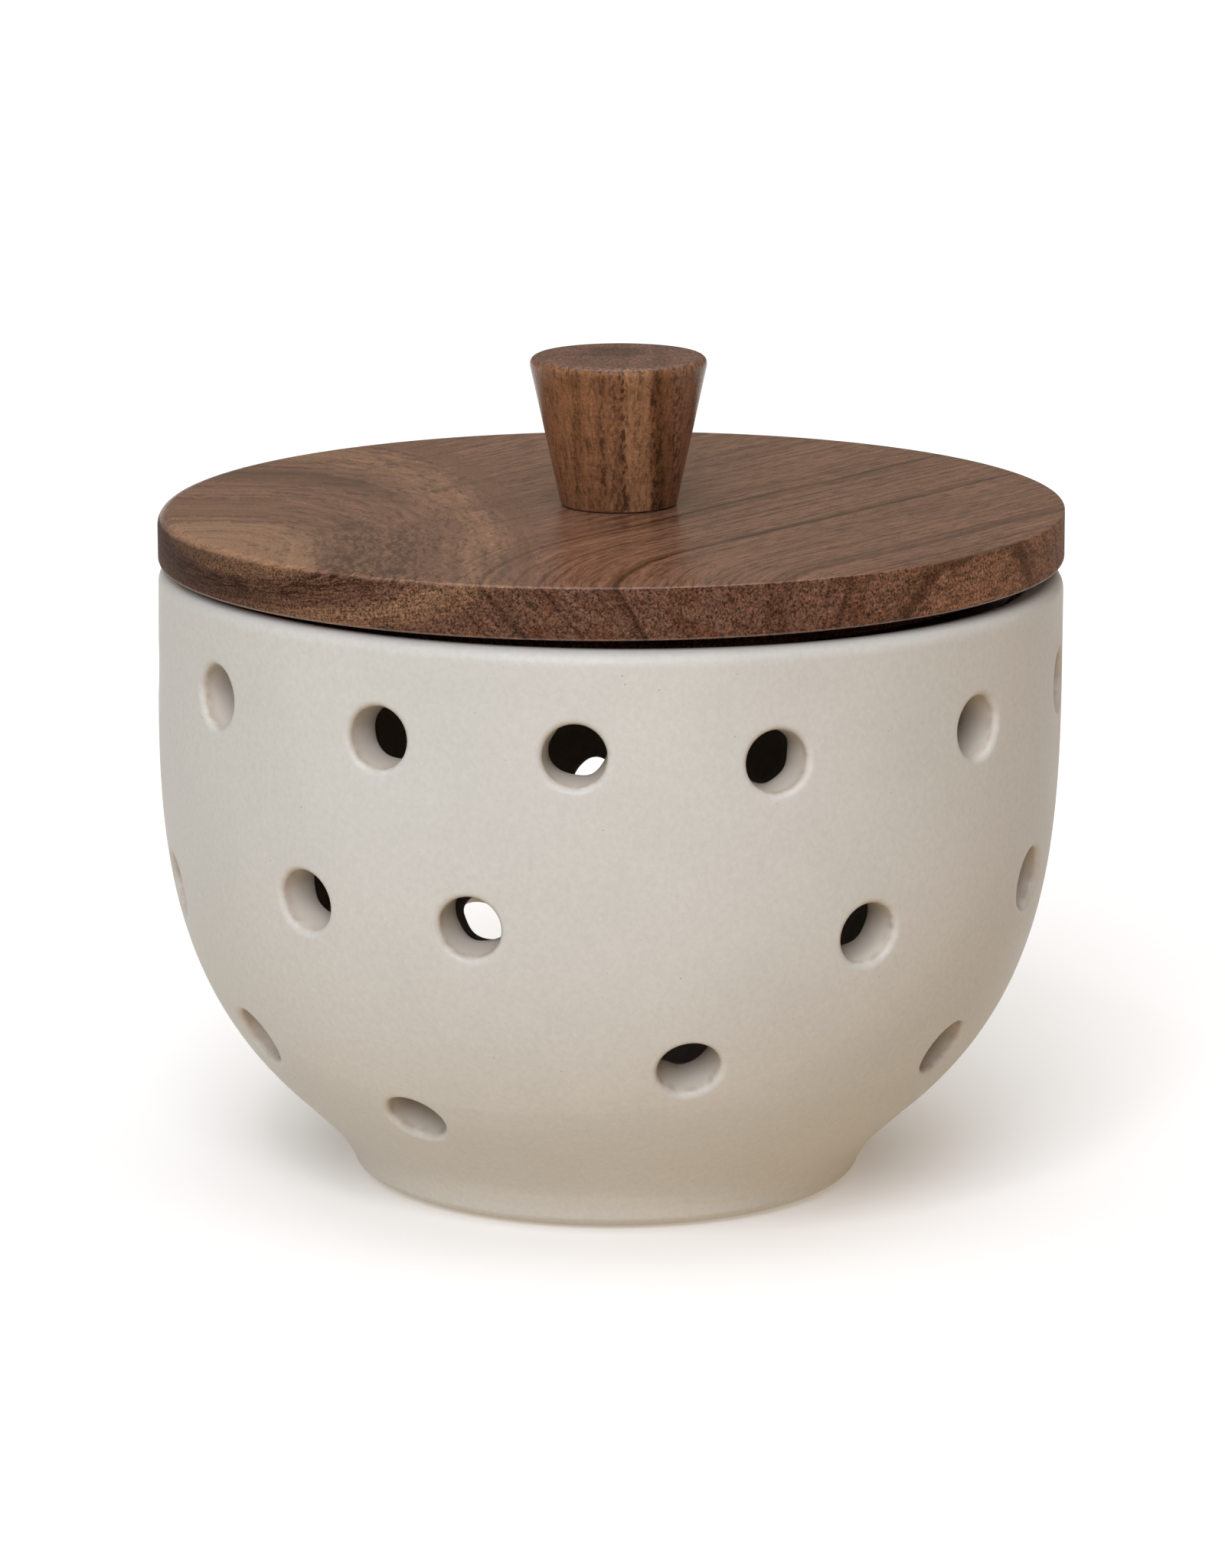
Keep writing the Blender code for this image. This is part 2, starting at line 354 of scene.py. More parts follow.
def make_bowl(materials):
    wall = Wall()
    holes = [Hole(wall, *spot) for spot in TOP_ROW + MIDDLE_ROW + LOWER_ROW]
    taken = {(c % COLUMNS, r) for hole in holes for c in hole.columns for r in hole.rows}
    outer = [wall.row(r) for r in range(wall.rows + 1)]
    first_inner = next(r for r in range(wall.rows) if wall.height(r * wall.step) >= INNER_LOW_Z)
    inner = [wall.row(r, WALL) for r in range(first_inner, wall.rows + 1)]
    floor_start = Vector((inner[0][0] - WALL, FLOOR_Z))
    floor = spaced([floor_start, Vector((0.0, FLOOR_Z))], FLAT_STEP)
    underside, edge = foot_paths()
    outward, inward = rim_paths()

    outline = underside + edge + [Vector(p) for p in outer] + outward + inward
    outline += [Vector(p) for p in reversed(inner)] + floor
    outer_ring = len(underside) + len(edge)
    crown_ring = outer_ring + len(outer) + len(outward) - 1
    inner_ring = crown_ring + len(inward) + len(inner)
    bm = bmesh.new()
    bm.verts.layers.float.new("lip")
    bm.verts.layers.float.new("bore")
    rings = [ring_at(bm, point, COLUMNS) for point in outline]

    def wall_row(ring):
        """Which wall row a ring starts, outside or inside, if it does."""
        if outer_ring <= ring < outer_ring + wall.rows:
            return ring - outer_ring
        row = first_inner + inner_ring - ring - 1
        return row if first_inner <= row < wall.rows else None

    for ring, (lower, upper) in enumerate(zip(rings, rings[1:])):
        row = wall_row(ring)
        finish = CLAY if ring < len(underside) else GLAZE if ring < crown_ring else INNER_GLAZE
        for column in range(COLUMNS):
            if (column, row) not in taken:
                cell(bm, lower, upper, column).material_index = finish

    for hole in holes:
        line_hole(bm, wall, hole, rings, outer_ring, inner_ring + first_inner)

    for vert in bm.verts:
        push = noise.noise(vert.co / WOBBLE_SIZE) * WOBBLE
        vert.co += Vector((vert.co.x, vert.co.y, 0.0)).normalized() * push
    return new_object("glazed_bowl", bm, materials)


def line_hole(bm, wall, hole, rings, outer_ring, inner_ring):
    """
    Joins the outside and the inside of the wall through one hole, ring by ring. Its vertices say how much
    of a lip they are on, and how deep in the bore.
    """
    border = hole.border()
    count = len(border)
    lip, bore = bm.verts.layers.float["lip"], bm.verts.layers.float["bore"]
    border_at = [(c * tau / COLUMNS, r * wall.step) for c, r in border]
    across = (border_at[0][0] - hole.angle) * skin(hole.z)[0]
    start = atan2(border_at[0][1] - hole.s, across)
    turns = [start + tau * k / count for k in range(count)]

    def ring_between(part, radius, depth, edge=0.0, inside=0.0):
        """A ring part of the way from the block's border to a circle about the hole."""
        verts = []
        for (angle, s), turn in zip(border_at, turns):
            to_angle, to_s = hole.around_axis(radius, turn, depth)
            spot = wall.point(angle + (to_angle - angle) * part, s + (to_s - s) * part, depth)
            verts.append(bm.verts.new(spot))
            verts[-1][lip] = edge
            verts[-1][bore] = inside
        return verts

    profile = hole.profile()
    loops = [[rings[outer_ring + r][c % COLUMNS] for c, r in border]]
    loops += [ring_between(part, profile[0][0], 0.0) for part in PATCH_PARTS]
    for radius, depth in profile:
        edge = max(0.0, sin(pi * min(depth / (2.0 * HOLE_LIP), 1.0)))
        loops.append(ring_between(1.0, radius, depth, edge, depth / WALL))
    inside_from = len(loops) - 1
    loops += [ring_between(part, profile[-1][0], WALL) for part in reversed(PATCH_PARTS)]
    loops.append([rings[inner_ring - r][c % COLUMNS] for c, r in border])
    for i, (near, far) in enumerate(zip(loops, loops[1:])):
        for k in range(count):
            cell(bm, near, far, k).material_index = INNER_GLAZE if i >= inside_from else GLAZE


# ---------------------------------------------------------------- lid, seal and knob

def split_finish(obj):
    """Gives the top and the underside of a wooden piece its first material, and its sides the second."""
    for face in obj.data.polygons:
        face.material_index = 0 if abs(face.normal.z) > LEVEL_FACE else 1


def seated(obj, offset_x=0.0, offset_z=0.0):
    """Puts a piece in the lid's tilted frame."""
    tilt = Matrix.Rotation(-LID_TILT, 4, "Y")
    obj.matrix_world = Matrix.Translation(LID_SEAT) @ tilt @ Matrix.Translation((offset_x, 0.0, offset_z))
    return obj


def towards_knob(point):
    """How far to the side a ring of the lid sits: its middle is centred on the knob, its rim on the bowl."""
    part = min(max((BOWL_CENTRED_R - point.x) / (BOWL_CENTRED_R - KNOB_CENTRED_R), 0.0), 1.0)
    return KNOB_OFFSET * part * part * (3.0 - 2.0 * part)


def make_lid(materials):
    corners = [(SCREW_HOLE_R, LID_THICK, 0.2), (LID_R, LID_THICK, LID_EDGE_SOFT / MM), (LID_R, 0.0, 0.8),
               (STEP_R, 0.0, 0.4), (STEP_R, GROOVE_HIGH, 0.25), (GROOVE_R, GROOVE_HIGH, 0.25),
               (GROOVE_R, GROOVE_LOW, 0.25), (STEP_R, GROOVE_LOW, 0.25), (STEP_R, -STEP_DEPTH, 0.6),
               (SCREW_HEAD_R, -STEP_DEPTH, 0.2), (SCREW_HEAD_R, SCREW_HEAD_Z, 0.1),
               (SCREW_HOLE_R, SCREW_HEAD_Z + SCREW_CONE_H, 0.3)]
    path = spaced(rounded(corners, closed=True), FLAT_STEP, closed=True)
    lid = turned("wooden_lid", path, LID_COLUMNS, materials, closed=True, centre_x=towards_knob)
    for vert in lid.data.vertices:
        soften_edge(vert)
    split_finish(lid)
    return seated(lid)


def soften_edge(vert):
    """The lid's top edge is hand-sanded: well rounded on one side, and nearly sharp on the other."""
    radius = hypot(vert.co.x, vert.co.y)
    if radius < LID_R - LID_EDGE_SOFT - NEAR or vert.co.z < LID_THICK - LID_EDGE_SOFT - NEAR:
        return
    around = atan2(vert.co.x, -vert.co.y) - radians(LID_SOFT_SIDE)
    softness = (0.5 + 0.5 * cos(around)) ** 2
    share = (LID_EDGE_SHARP + (LID_EDGE_SOFT - LID_EDGE_SHARP) * softness) / LID_EDGE_SOFT
    on_edge = (LID_R - (LID_R - radius) * share) / radius
    vert.co = (vert.co.x * on_edge, vert.co.y * on_edge, LID_THICK - (LID_THICK - vert.co.z) * share)


def make_seal(materials):
    inner = GROOVE_R + GAP
    low, high = GROOVE_LOW + GAP, GROOVE_HIGH - GAP
    middle = (low + high) / 2
    corners = [(inner, low, 0.3), (STEP_R, low, 0.2), (RING_R, middle - RING_TIP, 0.33),
               (RING_R, middle + RING_TIP, 0.33), (STEP_R, high, 0.2), (inner, high, 0.3)]
    path = spaced(rounded(corners, closed=True, steps=4), RING_STEP, closed=True)
    return seated(turned("silicone_ring", path, LID_COLUMNS, materials, closed=True))


def make_knob(materials):
    corners = [(0.0, KNOB_H, 0.0), (KNOB_TOP_R, KNOB_H, 1.2), (KNOB_BASE_R, 0.0, 0.4),
               (SCREW_HOLE_R, 0.0, 0.2), (SCREW_HOLE_R, PILOT_DEPTH, 0.0),
               (0.0, PILOT_DEPTH + SCREW_HOLE_R, 0.0)]
    knob = turned("wooden_knob", spaced(rounded(corners), KNOB_STEP), KNOB_COLUMNS, materials)
    split_finish(knob)
    return seated(knob, KNOB_OFFSET, LID_THICK + KNOB_GAP)


# ---------------------------------------------------------------- materials

class Graph:
    """Adds nodes to one material, with its texture space in millimetres of the piece's own frame."""

    def __init__(self, name):
        self.mat = bpy.data.materials.new(name)
        self.mat.use_nodes = True
        self.tree = self.mat.node_tree
        self.shader = self.tree.nodes["Principled BSDF"]
        self.place = self.add("ShaderNodeTexCoord")
        self.at = self.scaled(self.place.outputs["Object"], 1.0 / MM)

    def add(self, kind, **settings):
        node = self.tree.nodes.new(kind)
        for key, value in settings.items():
            setattr(node, key, value)
        return node

    def link(self, source, target):
        """Feeds a socket from another one, or sets it to a number or a colour."""
        if isinstance(source, (int, float)):
            target.default_value = source
        elif isinstance(source, tuple):
            target.default_value = (*source, 1.0) if len(target.default_value) == 4 else source
        else:
            self.tree.links.new(source, target)

    def math(self, operation, *values):
        node = self.add("ShaderNodeMath", operation=operation)
        for socket, value in zip(node.inputs, values):
            self.link(value, socket)
        return node.outputs[0]

    def total(self, *values):
        result = values[0]
        for value in values[1:]:
            result = self.math("ADD", result, value)
        return result

    def product(self, *values):
        result = values[0]
        for value in values[1:]:
            result = self.math("MULTIPLY", result, value)
        return result

    def minus(self, value, other):
        return self.math("SUBTRACT", value, other)

    def split(self, vector):
        node = self.add("ShaderNodeSeparateXYZ")
        self.link(vector, node.inputs[0])
        return node.outputs

    def join(self, x, y, z):
        node = self.add("ShaderNodeCombineXYZ")
        for socket, value in zip(node.inputs, (x, y, z)):
            self.link(value, socket)
        return node.outputs[0]

    def scaled(self, vector, factor):
        """A vector or a colour times one number."""
        node = self.add("ShaderNodeVectorMath", operation="SCALE")
        self.link(vector, node.inputs[0])
        self.link(factor, node.inputs["Scale"])
        return node.outputs[0]

    def squeezed(self, x, y, z):
        """The place in the piece, each axis times its own number: under 1 stretches a texture along it."""
        node = self.add("ShaderNodeVectorMath", operation="MULTIPLY")
        self.link(self.at, node.inputs[0])
        self.link((x, y, z), node.inputs[1])
        return node.outputs[0]

    def noise(self, vector, scale, detail=2.0, roughness=0.5, distortion=0.0):
        """Noise with features about 1 / scale millimetres across, from 0 to 1."""
        node = self.add("ShaderNodeTexNoise")
        self.link(vector, node.inputs["Vector"])
        node.inputs["Scale"].default_value = scale
        node.inputs["Detail"].default_value = detail
        node.inputs["Roughness"].default_value = roughness
        node.inputs["Distortion"].default_value = distortion
        return node.outputs["Fac"]

    def spread(self, vector, scale, reach, detail=2.0, roughness=0.5):
        """Noise about zero, to half its reach each way."""
        return self.product(self.minus(self.noise(vector, scale, detail, roughness), 0.5), reach)

    def remap(self, value, low, high, to_low=0.0, to_high=1.0, smooth=True):
        node = self.add("ShaderNodeMapRange", interpolation_type="SMOOTHSTEP" if smooth else "LINEAR")
        for socket, number in zip(node.inputs, (value, low, high, to_low, to_high)):
            self.link(number, socket)
        return node.outputs[0]

    def band(self, value, rise, top, end, fall):
        """1 where a value is between top and end, and 0 where it is under rise or over fall."""
        return self.product(self.remap(value, rise, top), self.remap(value, end, fall, 1.0, 0.0))

    def ramp(self, value, stops, low, high):
        """Colours at places along a value from low to high, joined smoothly."""
        node = self.add("ShaderNodeValToRGB")
        band = node.color_ramp
        band.interpolation = "EASE"
        while len(band.elements) < len(stops):
            band.elements.new(1.0)
        for element, (position, colour) in zip(band.elements, stops):
            element.position = (position - low) / (high - low)
            element.color = (*colour, 1.0)
        self.link(self.remap(value, low, high, smooth=False), node.inputs[0])
        return node.outputs["Color"]

    def mix(self, share, one, other):
        node = self.add("ShaderNodeMix", data_type="RGBA")
        self.link(share, node.inputs["Factor"])
        self.link(one, node.inputs["A"])
        self.link(other, node.inputs["B"])
        return node.outputs["Result"]

    def upright(self):
        """How far the surface faces straight up or down, from 0 to 1."""
        return self.math("ABSOLUTE", self.split(self.place.outputs["Normal"])[2])

    def painted(self, name):
        """A value that the mesh holds at each vertex."""
        return self.add("ShaderNodeAttribute", attribute_name=name).outputs["Fac"]

    def bump(self, height, distance, strength=1.0, under=None):
        node = self.add("ShaderNodeBump")
        node.inputs["Distance"].default_value = distance
        node.inputs["Strength"].default_value = strength
        self.link(height, node.inputs["Height"])
        if under is not None:
            self.link(under, node.inputs["Normal"])
        return node.outputs["Normal"]

    def finish(self, colour, roughness, normal=None, **fixed):
        self.link(colour, self.shader.inputs["Base Color"])
        self.link(roughness, self.shader.inputs["Roughness"])
        if normal is not None:
            self.link(normal, self.shader.inputs["Normal"])
        for name, value in fixed.items():
            self.shader.inputs[name.replace("_", " ")].default_value = value
        return self.mat


# Glaze and clay colours, linear like all the colours here
CREAM = (0.645, 0.634, 0.594)
CREAM_CLOUD = (0.680, 0.668, 0.628)
IRON = (0.16, 0.11, 0.07)
INNER_CREAM = (0.52, 0.475, 0.43)
INNER_CLOUD = (0.56, 0.51, 0.465)
INNER_IRON = (0.2, 0.14, 0.10)
# The bores' colours, from mouth to deep end: the deep end is darker as painted shade
BORE_MOUTH = (0.72, 0.655, 0.565)
BORE_DEEP_SHADED = (0.55, 0.485, 0.41)
LIP_BROWN = (0.33, 0.22, 0.14)
CLAY_BROWN = (0.42, 0.34, 0.25)
CLAY_BUFF = (0.62, 0.54, 0.43)
GROG = (0.3, 0.22, 0.15)


def iron_specks(g):
    """1 inside small round specks, at about half of the cells of a scattered grid."""
    cells = g.add("ShaderNodeTexVoronoi", feature="F1")
    cells.inputs["Scale"].default_value = 0.36
    g.link(g.at, cells.inputs["Vector"])
    chance, size, _ = g.split(cells.outputs["Color"])
    shown = g.math("GREATER_THAN", chance, 0.55)
    reach = g.product(g.total(g.product(size, 0.035), 0.02), shown)
    return g.math("LESS_THAN", cells.outputs["Distance"], reach)


def glaze_material(name, base, cloud, speck, roughness, warmth):
    """
    Satin stoneware glaze: soft clouding, sparse iron specks, warm bores by a share of warmth, darker deeper
    in as painted shade, brown breaks on the holes' lips, and a faint orange peel with throwing lines.
    """
    g = Graph(name)
    clouds = g.noise(g.at, 0.035, detail=4.0, roughness=0.6)
    colour = g.mix(g.remap(clouds, 0.3, 0.7), base, cloud)
    mottle = g.noise(g.at, 1.1, detail=4.0, roughness=0.7)
    colour = g.scaled(colour, g.remap(mottle, 0.25, 0.75, 0.935, 1.065, smooth=False))
    colour = g.mix(g.product(iron_specks(g), 0.45), colour, speck)
    # The bores' glaze is warm, and it darkens deeper in: that darkening is painted shade
    bore = g.painted("bore")
    warm = g.mix(bore, BORE_MOUTH, BORE_DEEP_SHADED)
    colour = g.mix(g.remap(bore, 0.02, 0.15, 0.0, warmth), colour, warm)
    thin = g.remap(g.noise(g.at, 0.5, detail=3.0), 0.35, 0.65, 0.05, 0.38)
    colour = g.mix(g.product(g.painted("lip"), thin), colour, LIP_BROWN)
    peel = g.noise(g.at, 0.8, detail=2.0)
    sand = g.noise(g.at, 3.0, detail=2.0)
    lines = g.noise(g.squeezed(0.02, 0.02, 1.0), 0.35, detail=3.0)
    normal = g.bump(lines, 0.00012, 0.5)
    normal = g.bump(peel, 0.00003, 0.6, normal)
    normal = g.bump(sand, 0.00002, 0.7, normal)
    rough = g.remap(clouds, 0.3, 0.7, roughness - 0.04, roughness + 0.05)
    return g.finish(colour, rough, normal, Specular_IOR_Level=0.34)


def clay_material():
    """Bare fired clay under the foot: sandy, with coarse grog."""
    g = Graph("bare_clay")
    sand = g.noise(g.at, 2.2, detail=6.0, roughness=0.7)
    grog = g.noise(g.at, 0.5, detail=3.0)
    colour = g.mix(g.remap(sand, 0.35, 0.65), CLAY_BROWN, CLAY_BUFF)
    colour = g.mix(g.remap(grog, 0.62, 0.72, 0.0, 0.5), colour, GROG)
    return g.finish(colour, 0.85, g.bump(sand, 0.0001, 0.8))


# Wood colours
TAN = (0.335, 0.184, 0.105)
HONEY = (0.298, 0.154, 0.090)
ROSE = (0.228, 0.113, 0.072)
BROWN = (0.216, 0.109, 0.066)
SEPIA = (0.130, 0.060, 0.032)
UMBER = (0.056, 0.023, 0.010)
RUSSET = (0.150, 0.050, 0.022)
PORE = (0.040, 0.016, 0.007)
KNOB_PALE = (0.330, 0.165, 0.082)
KNOB_LIGHT = (0.265, 0.122, 0.058)
KNOB_BROWN = (0.222, 0.102, 0.048)
KNOB_DARK = (0.140, 0.063, 0.028)

# The flame on the lid's left: where its arches start, in mm, their heading in degrees, how boxy they are,
# and their colours by the distance from their middle line
FLAME_START = (-64.0, -36.0)
FLAME_HEADING = -90.0
FLAME_SQUARE = 2.8
FLAME_STOPS = ((0.0, TAN), (20.0, TAN), (23.0, ROSE), (26.0, BROWN), (28.5, BROWN), (33.0, ROSE),
               (41.5, ROSE), (44.5, HONEY), (46.0, HONEY), (49.5, ROSE))
# The sweep on its right, and its dark veins: how far each lies from the middle line, its width and strength
SWEEP_START = (58.0, -74.0)
SWEEP_HEADING = 52.0
VEINS = ((22.0, 0.6, 0.9), (26.5, 0.5, 0.7), (35.5, 0.9, 0.4), (57.8, 0.9, 1.0), (61.0, 0.5, 0.4),
         (68.5, 0.6, 0.6), (72.0, 0.5, 0.6), (77.0, 1.0, 1.0), (79.5, 0.5, 0.5), (82.5, 0.6, 0.7),
         (95.0, 0.6, 0.4))
# The knob's stripes and its columns of open pores: where each lies across it, in mm, and each column's
# width and strength
STRIPES = ((-13.0, HONEY), (-9.5, KNOB_LIGHT), (-7.2, KNOB_LIGHT), (-6.0, KNOB_BROWN), (-4.2, KNOB_LIGHT),
           (-2.2, KNOB_BROWN), (-0.9, KNOB_LIGHT), (0.9, KNOB_BROWN), (2.2, KNOB_PALE), (4.9, KNOB_PALE),
           (5.4, KNOB_BROWN), (6.3, KNOB_DARK), (7.8, KNOB_BROWN), (9.5, HONEY))
PORE_COLUMNS = ((-6.2, 1.0, 0.6), (-4.0, 0.8, 0.4), (-2.2, 0.9, 0.8), (-0.4, 1.1, 0.7), (1.2, 1.2, 1.0),
                (3.4, 1.4, 0.4), (6.0, 1.4, 1.0), (9.0, 1.2, 0.8))


def joined(g, one, other, square=2.0):
    """The length of two distances at a right angle; a higher square makes its contours boxier."""
    powers = [g.math("POWER", g.math("ABSOLUTE", value), square) for value in (one, other)]
    return g.math("POWER", g.total(*powers), 1.0 / square)


def arches(g, x, y, start, heading, squeeze=1.0, taper=1.0, square=2.0):
    """
    Distance in mm from a line that runs one way from its start, so that its contours are nested arches,
    and the distance along it. Behind the start, squeeze, taper and square give the arches their shape.
    """
    along_x, along_y = cos(radians(heading)), sin(radians(heading))
    dx = g.minus(x, start[0])
    dy = g.minus(y, start[1])
    along = g.total(g.product(dx, along_x), g.product(dy, along_y))
    across = g.minus(g.product(dy, along_x), g.product(dx, along_y))
    behind = g.math("POWER", g.math("MAXIMUM", g.product(along, -1.0), 0.0), taper)
    return joined(g, across, g.product(behind, squeeze), square), along


def lines_at(g, value, lines):
    """Lines at the given places along a value, by (place, width, strength): 0 off them."""
    result = 0.0
    for place, width, strength in lines:
        off = g.math("ABSOLUTE", g.minus(value, place))
        result = g.math("MAXIMUM", result, g.remap(off, 0.15 * width, width, strength, 0.0))
    return result


def thin_lines(g, across, along, per_mm, width):
    """Thin lines along the contours of a distance, at uneven spacings: 1 on a line, 0 off it."""
    at = g.join(across, g.product(along, 0.012), 0.0)
    level = g.minus(g.noise(at, per_mm, detail=1.0), 0.5)
    return g.remap(g.math("ABSOLUTE", level), 0.0, width, 1.0, 0.0)


def wood_finish(g, colour, across, along, z, cut, shade, relief, gloss):
    """
    Streaks, pores, a fine speckle and an oiled surface over a wood's own colour. Where a face cuts across
    the grain (cut is 1) it is darker by its shade, on the lid's left end partly painted shade, duller and
    more speckled.
    """
    streaks = g.noise(g.join(across, g.product(along, 0.04), z), 0.9, detail=5.0, roughness=0.65)
    dashes = g.noise(g.join(across, g.product(along, 0.14), z), 1.8, detail=3.0, roughness=0.7)
    speckle = g.noise(g.at, 2.5, detail=3.0, roughness=0.85)
    speckled = g.product(g.minus(speckle, 0.5), g.total(g.product(cut, 4.6), 1.7))
    fibres = g.product(g.total(dashes, streaks, -1.0), 1.5, relief)
    light = g.product(g.total(speckled, fibres, 1.0), g.minus(1.0, g.product(cut, shade)))
    colour = g.scaled(colour, g.math("MAXIMUM", light, 0.1))
    pores = g.remap(dashes, 0.36, 0.46, 1.0, 0.0)
    colour = g.mix(g.product(pores, 0.4), colour, PORE)
    normal = g.bump(streaks, 0.00006, 0.35)
    normal = g.bump(dashes, 0.00006, 0.5, normal)
    normal = g.bump(speckle, 0.00005, 0.6, normal)
    rough = g.total(g.remap(streaks, 0.3, 0.7, 0.14, 0.21), g.product(cut, 0.45))
    return g.finish(colour, rough, normal, Specular_IOR_Level=gloss)


def flame_figure(g, place, depth, cut, sway, ripple):
    """Nested arches: the distance across them, the distance along them, and their colour."""
    x, y, z = place
    flame, along = arches(g, x, y, FLAME_START, FLAME_HEADING, 2.99, 0.606, FLAME_SQUARE)
    lower = g.product(g.total(depth, 2.3), 3.8)
    flame = g.total(joined(g, flame, lower), g.product(sway, 0.5), ripple)
    grain = g.noise(g.join(flame, g.product(along, 0.16), z), 1.4, detail=3.0, roughness=0.7)
    fuzzy = g.total(flame, g.product(g.minus(grain, 0.5), 9.0))
    colour = g.ramp(fuzzy, FLAME_STOPS, 0.0, 60.0)

    behind = g.product(g.remap(y, -20.0, 5.0, 0.0, 0.8), g.remap(flame, 36.0, 46.0, 1.0, 0.0))
    colour = g.mix(behind, colour, ROSE)
    arch_line = g.product(g.band(flame, 35.0, 38.5, 39.0, 42.5), g.remap(y, -8.0, 22.0, 0.0, 0.5))
    colour = g.mix(arch_line, colour, UMBER)

    # The dark brush strokes at the front, which end further in on the lid's side
    front_end = g.total(fuzzy, g.product(cut, 5.0))
    front = g.product(g.remap(fuzzy, 22.0, 26.0), g.remap(front_end, 34.0, 44.0, 1.0, 0.0),
                      g.remap(y, -36.0, 0.0, 1.0, 0.0), g.remap(grain, 0.48, 0.54, 0.1, 1.0),
                      g.total(g.product(cut, 0.25), 0.7))
    colour = g.mix(front, colour, UMBER)
    streak = g.product(g.band(fuzzy, 36.5, 39.5, 42.0, 46.0), cut, 0.9)
    return flame, along, g.mix(streak, colour, TAN)


def sweep_figure(g, place, depth, cut, sway):
    """Long curves: the distance across them, the distance along them, and their colour."""
    x, y, _ = place
    sweep, along = arches(g, x, y, SWEEP_START, SWEEP_HEADING)
    slant = g.product(depth, g.remap(sweep, 25.0, 70.0, -0.15, 0.9))
    sweep = g.total(sweep, slant, g.product(sway, 0.6))
    tone = g.noise(g.join(sweep, g.product(along, 0.03), 0.0), 0.16, detail=4.0, roughness=0.6)
    colour = g.mix(g.remap(tone, 0.45, 0.75, 0.0, 0.35), ROSE, SEPIA)
    patches = g.remap(g.noise(g.at, 0.13, detail=3.0, distortion=0.6), 0.48, 0.6)
    blotch = g.product(patches, cut, g.remap(x, 36.0, 44.0, 0.5, 0.1))
    colour = g.mix(blotch, colour, RUSSET)
    pale = g.product(g.remap(x, 30.0, 62.0, 0.0, 0.7), cut)
    return sweep, along, g.mix(pale, colour, HONEY)


def lid_wood(name, gloss):
    """An acacia board: a flame of nested arches on its left, and long sweeping lines on its right."""
    g = Graph(name)
    place = g.split(g.at)
    x, _, z = place
    cut = g.remap(g.upright(), 0.2, 0.8, 1.0, 0.0)
    depth = g.minus(LID_THICK / MM, z)
    sway = g.spread(g.at, 0.03, 5.0)
    ripple = g.spread(g.at, 0.35, 3.0, detail=4.0, roughness=0.7)
    flame, flame_along, flame_colour = flame_figure(g, place, depth, cut, sway, ripple)
    sweep, sweep_along, sweep_colour = sweep_figure(g, place, depth, cut, sway)

    wavy = g.total(sweep, g.product(ripple, 0.35))
    faint = g.remap(g.noise(g.at, 0.05, detail=2.0), 0.35, 0.6, 0.55, 1.0)
    thin = g.product(thin_lines(g, wavy, sweep_along, 0.12, 0.016), 0.5)
    lines = g.product(g.math("MAXIMUM", thin, lines_at(g, wavy, VEINS)), faint,
                      g.minus(0.95, g.product(cut, 0.15)))

    side = g.remap(flame, 50.0, 54.0)
    other = g.minus(1.0, side)
    colour = g.mix(side, flame_colour, sweep_colour)
    colour = g.mix(g.product(lines, g.remap(flame, 41.0, 47.0)), colour, UMBER)
    across = g.total(g.product(flame, other), g.product(sweep, side))
    along = g.total(g.product(flame_along, other), g.product(sweep_along, side))
    # The side is darker across the grain, less so at the right end; the extra darkening at the left end is
    # painted shade
    shade = g.total(g.remap(x, 22.0, 68.0, 0.39, 0.08), g.remap(x, -66.0, -44.0, 0.27, 0.0))
    relief = g.remap(flame, 14.0, 32.0, 0.3, 1.0)
    return wood_finish(g, colour, across, along, z, cut, shade, relief, gloss)


def knob_wood(name, gloss):
    """The knob's grain stands upright, so its side shows stripes and its top shows their ends."""
    g = Graph(name)
    x, y, z = g.split(g.at)
    cut = g.remap(g.upright(), 0.3, 0.9)
    bend = g.product(g.math("POWER", g.math("ABSOLUTE", y), 2.0), 0.003)
    wave = g.spread(g.squeezed(1.0, 1.0, 0.2), 0.25, 1.0, detail=3.0)
    across = g.total(x, bend, wave)
    colour = g.ramp(across, STRIPES, -16.0, 16.0)

    dots = g.noise(g.squeezed(1.0, 1.0, 0.5), 1.5, detail=2.0, roughness=0.6)
    columns = g.product(lines_at(g, across, PORE_COLUMNS), g.remap(dots, 0.48, 0.58),
                        g.minus(0.75, g.product(cut, 0.6)))
    colour = g.mix(columns, colour, PORE)
    colour = g.mix(g.product(cut, 0.65), colour, ROSE)

    off_smudge = joined(g, g.total(x, 1.0), g.minus(y, 3.0))
    off_smudge = g.total(off_smudge, g.spread(g.at, 0.25, 14.0, detail=4.0))
    smudge = g.product(g.remap(off_smudge, 3.0, 8.0, 0.55, 0.0), cut)
    colour = g.mix(smudge, colour, UMBER)
    marks = g.noise(g.squeezed(0.06, 0.06, 1.0), 2.2, detail=2.0)
    colour = g.scaled(colour, g.remap(marks, 0.3, 0.7, 0.9, 1.1, smooth=False))
    # Painted shade: the knob darkens towards its base, where it meets the lid
    colour = g.scaled(colour, g.remap(z, 0.0, 18.0, 0.78, 1.04))
    return wood_finish(g, colour, across, z, y, cut, 0.4, 0.65, gloss)


def silicone_material():
    # Silicone, made near-black so that it stands as painted shade in the gap under the lid
    g = Graph("dark_silicone")
    dust = g.noise(g.at, 1.5, detail=4.0)
    colour = g.mix(dust, (0.022, 0.018, 0.016), (0.034, 0.028, 0.024))
    return g.finish(colour, g.remap(dust, 0.3, 0.7, 0.45, 0.6), g.bump(dust, 0.00002, 0.5))


